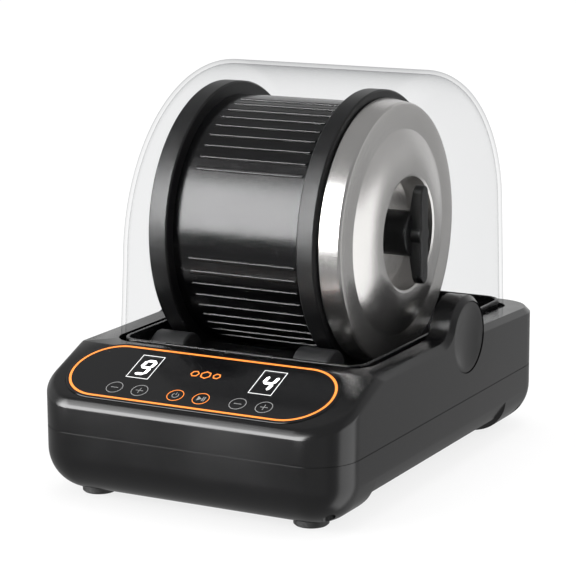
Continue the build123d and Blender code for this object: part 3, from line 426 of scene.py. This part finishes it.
# A generic motif in the middle of the panel: three pebbles in a row, orange print with a painted glow.
pebble_y = 5.9 * mm
pebbles = []
for pebble_x, size, lean in ((-6.2 * mm, 2.5 * mm, 12), (0.0, 3.1 * mm, 40), (6.4 * mm, 2.3 * mm, -8)):
    outer = circle(pebble_x, pebble_y, size, count=6, start=lean)
    inner = circle(pebble_x, pebble_y, size - 0.7 * mm, count=6, start=lean)
    pebbles.append((outer, inner))
outline_mesh("pebble_motif", pebbles, 0.0, orange_print_painted_glow, "base")

# The displays: a thin frame round each, white print with a painted glow, and one slanted seven-segment
# digit, which glows as the display's own lamp.
display_x = 35.4 * mm
display_y = 19.3 * mm - ring_center
display_half_x = 6.5 * mm
display_half_y = 9.75 * mm
frame_line = 0.34 * mm


def rectangle(x, y, half_x, half_y):
    signs = ((-1, -1), (1, -1), (1, 1), (-1, 1))
    return [(x + p * half_x, y + q * half_y) for p, q in signs]


frames = [
    (rectangle(side * display_x, display_y, display_half_x, display_half_y),
     rectangle(side * display_x, display_y, display_half_x - frame_line, display_half_y - frame_line))
    for side in (-1, 1)
]
outline_mesh("display_frames", frames, 0.0, white_print_painted_glow, "base")

digit_half_x = 2.7 * mm
digit_half_y = 5.6 * mm
segment = 1.8 * mm
gap = 0.12 * mm
slant = math.tan(math.radians(9))
lit_segments = {"4": "bcfg", "9": "abcdfg"}


def segment_points(x0, y0, x1, y1):
    """Pointed bar from one digit corner to another."""
    along = Vector((x1 - x0, y1 - y0)).normalized()
    side = Vector((-along.y, along.x)) * segment / 2
    start = Vector((x0, y0)) + along * gap
    end = Vector((x1, y1)) - along * gap
    tip = segment / 2
    return [
        start, start + along * tip - side, end - along * tip - side,
        end, end - along * tip + side, start + along * tip + side,
    ]


def digit(x, character):
    """Seven-segment outlines of one digit."""
    corners = {
        "a": (-1, 1, 1, 1), "b": (1, 0, 1, 1), "c": (1, -1, 1, 0), "d": (-1, -1, 1, -1),
        "e": (-1, -1, -1, 0), "f": (-1, 0, -1, 1), "g": (-1, 0, 1, 0),
    }
    shapes = []
    for letter in lit_segments[character]:
        x0, y0, x1, y1 = corners[letter]
        points = segment_points(x0 * digit_half_x, y0 * digit_half_y, x1 * digit_half_x, y1 * digit_half_y)
        shapes.append(([(x + p.x + p.y * slant, display_y + p.y) for p in points], None))
    return shapes


outline_mesh("lit_digits", digit(-display_x, "9") + digit(display_x, "4"), -0.3 * mm, white_light, "base")

# ================================================================ floor, light and camera
floor_mesh = bpy.data.meshes.new("floor")
floor_shape = bmesh.new()
bmesh.ops.create_grid(floor_shape, x_segments=1, y_segments=1, size=6.0)
floor_shape.to_mesh(floor_mesh)
floor_shape.free()
floor = bpy.data.objects.new("floor", floor_mesh)
bpy.context.scene.collection.objects.link(floor)
floor_look = Shader("floor_look", (0.2, 0.2, 0.2), 0.9)
floor_look.main.inputs["Emission Color"].default_value = (1, 1, 1, 1)
floor_look.main.inputs["Emission Strength"].default_value = 0.8
floor_look.main.inputs["Specular IOR Level"].default_value = 0.0
floor_mesh.materials.append(floor_look.material)


def area_light(name, place, aim, width, height, power):
    """A rectangular softbox pointed at a place."""
    light = bpy.data.lights.new(name, "AREA")
    light.shape = "RECTANGLE"
    light.size = width
    light.size_y = height
    light.energy = power
    lamp = bpy.data.objects.new(name, light)
    lamp.location = place
    lamp.rotation_euler = (Vector(aim) - Vector(place)).to_track_quat("-Z", "Y").to_euler()
    lamp.visible_glossy = False
    bpy.context.scene.collection.objects.link(lamp)
    return lamp


middle = (cad_low + cad_high) / 2
area_light("key", middle + Vector((-1.3, -1.8, 1.3)), middle, 1.3, 1.0, 24)
area_light("side", middle + Vector((2.0, 0.6, 0.9)), middle, 1.2, 1.2, 10)
area_light("top", middle + Vector((0.0, 0.3, 2.2)), middle, 1.4, 1.0, 12)
floor.visible_glossy = False

# The studio round the object is painted on the sky by direction, for shiny surfaces to mirror.
# Each patch is ((azimuth from +X, half width), (lowest, highest elevation), (softness of the
# lower edge, softness of the upper edge), radiance), with the angles in degrees.
studio_patches = [
    ((-122.0, 30.0), (-3.0, 38.0), (2.0, 22.0), 13.0),
    ((-60.0, 24.0), (-30.0, 8.0), (6.0, 8.0), 0.1),
    ((18.0, 24.0), (-60.0, 4.0), (10.0, 8.0), 1.5),
    ((62.0, 14.0), (-50.0, 10.0), (10.0, 8.0), 0.12),
    ((34.0, 40.0), (0.0, 45.0), (8.0, 14.0), 0.2),
    ((105.0, 30.0), (-10.0, 35.0), (6.0, 14.0), 0.5),
    ((165.0, 25.0), (-5.0, 40.0), (6.0, 14.0), 0.3),
]
side_soft = 6.0  # half the softness of a patch's left and right edges
overhead_level = 0.34  # what shiny surfaces mirror between the patches
camera_level = 1.02  # seen straight by the camera
fill_level = 1.0  # lights dull surfaces from all round

world = bpy.data.worlds.new("studio")
bpy.context.scene.world = world
world.use_nodes = True
sky_tree = world.node_tree
sky = sky_tree.nodes["Background"]
sky.inputs["Color"].default_value = (1, 1, 1, 1)


def sky_math(operation, *values):
    return math_node(sky_tree, operation, *values)


def sky_step(value, start, end):
    """Rises smoothly from 0 to 1 as the value goes from start to end."""
    made = sky_tree.nodes.new("ShaderNodeMapRange")
    made.interpolation_type = "SMOOTHSTEP"
    made.inputs["From Min"].default_value = start
    made.inputs["From Max"].default_value = end
    sky_tree.links.new(value, made.inputs["Value"])
    return made.outputs["Result"]


direction = sky_tree.nodes.new("ShaderNodeSeparateXYZ")
sky_tree.links.new(sky_tree.nodes.new("ShaderNodeTexCoord").outputs["Generated"], direction.inputs[0])
degrees = 180.0 / math.pi
azimuth = sky_math("MULTIPLY", sky_math("ARCTAN2", direction.outputs["Y"], direction.outputs["X"]), degrees)
elevation = sky_math("MULTIPLY", sky_math("ARCSINE", direction.outputs["Z"]), degrees)

mirrored = overhead_level
for (heading, half_width), (low, high), (low_soft, high_soft), radiance in studio_patches:
    turned = sky_math("ABSOLUTE", sky_math("WRAP", sky_math("SUBTRACT", azimuth, heading), 180.0, -180.0))
    beside = sky_math("SUBTRACT", 1.0, sky_step(turned, half_width - side_soft, half_width + side_soft))
    above = sky_step(elevation, low - low_soft / 2, low + low_soft / 2)
    below = sky_math("SUBTRACT", 1.0, sky_step(elevation, high - high_soft / 2, high + high_soft / 2))
    patch = sky_math("MULTIPLY", beside, sky_math("MULTIPLY", above, below))
    mirrored = sky_math("ADD", mirrored, sky_math("MULTIPLY", patch, radiance))

rays = sky_tree.nodes.new("ShaderNodeLightPath")
glossy = rays.outputs["Is Glossy Ray"]
seen = rays.outputs["Is Camera Ray"]
plain = sky_math("ADD", fill_level, sky_math("MULTIPLY", seen, camera_level - fill_level))
level = sky_math(
    "ADD",
    sky_math("MULTIPLY", glossy, mirrored),
    sky_math("MULTIPLY", sky_math("SUBTRACT", 1.0, glossy), plain),
)
sky_tree.links.new(level, sky.inputs["Strength"])

camera_azimuth = math.radians(28.288)
camera_elevation = math.radians(12.25)
camera_roll = math.radians(-0.344)
camera_distance = 1270.8 * mm
camera_target = Vector((-18.54, 21.48, 86.18)) * mm

away = Vector((
    math.sin(camera_azimuth) * math.cos(camera_elevation),
    -math.cos(camera_azimuth) * math.cos(camera_elevation),
    math.sin(camera_elevation),
))
right = Vector((0, 0, 1)).cross(away).normalized()
up = away.cross(right)
rolled_right = right * math.cos(camera_roll) + up * math.sin(camera_roll)
rolled_up = up * math.cos(camera_roll) - right * math.sin(camera_roll)
camera_data = bpy.data.cameras.new("camera")
camera_data.lens = 145.43
camera_data.sensor_width = 36.0
camera = bpy.data.objects.new("camera", camera_data)
turn = Matrix((rolled_right, rolled_up, away)).transposed().to_4x4()
camera.matrix_world = Matrix.Translation(camera_target + away * camera_distance) @ turn
bpy.context.scene.collection.objects.link(camera)
bpy.context.scene.camera = camera

# Plain colour handling keeps the white floor white.
bpy.context.scene.view_settings.view_transform = "Standard"
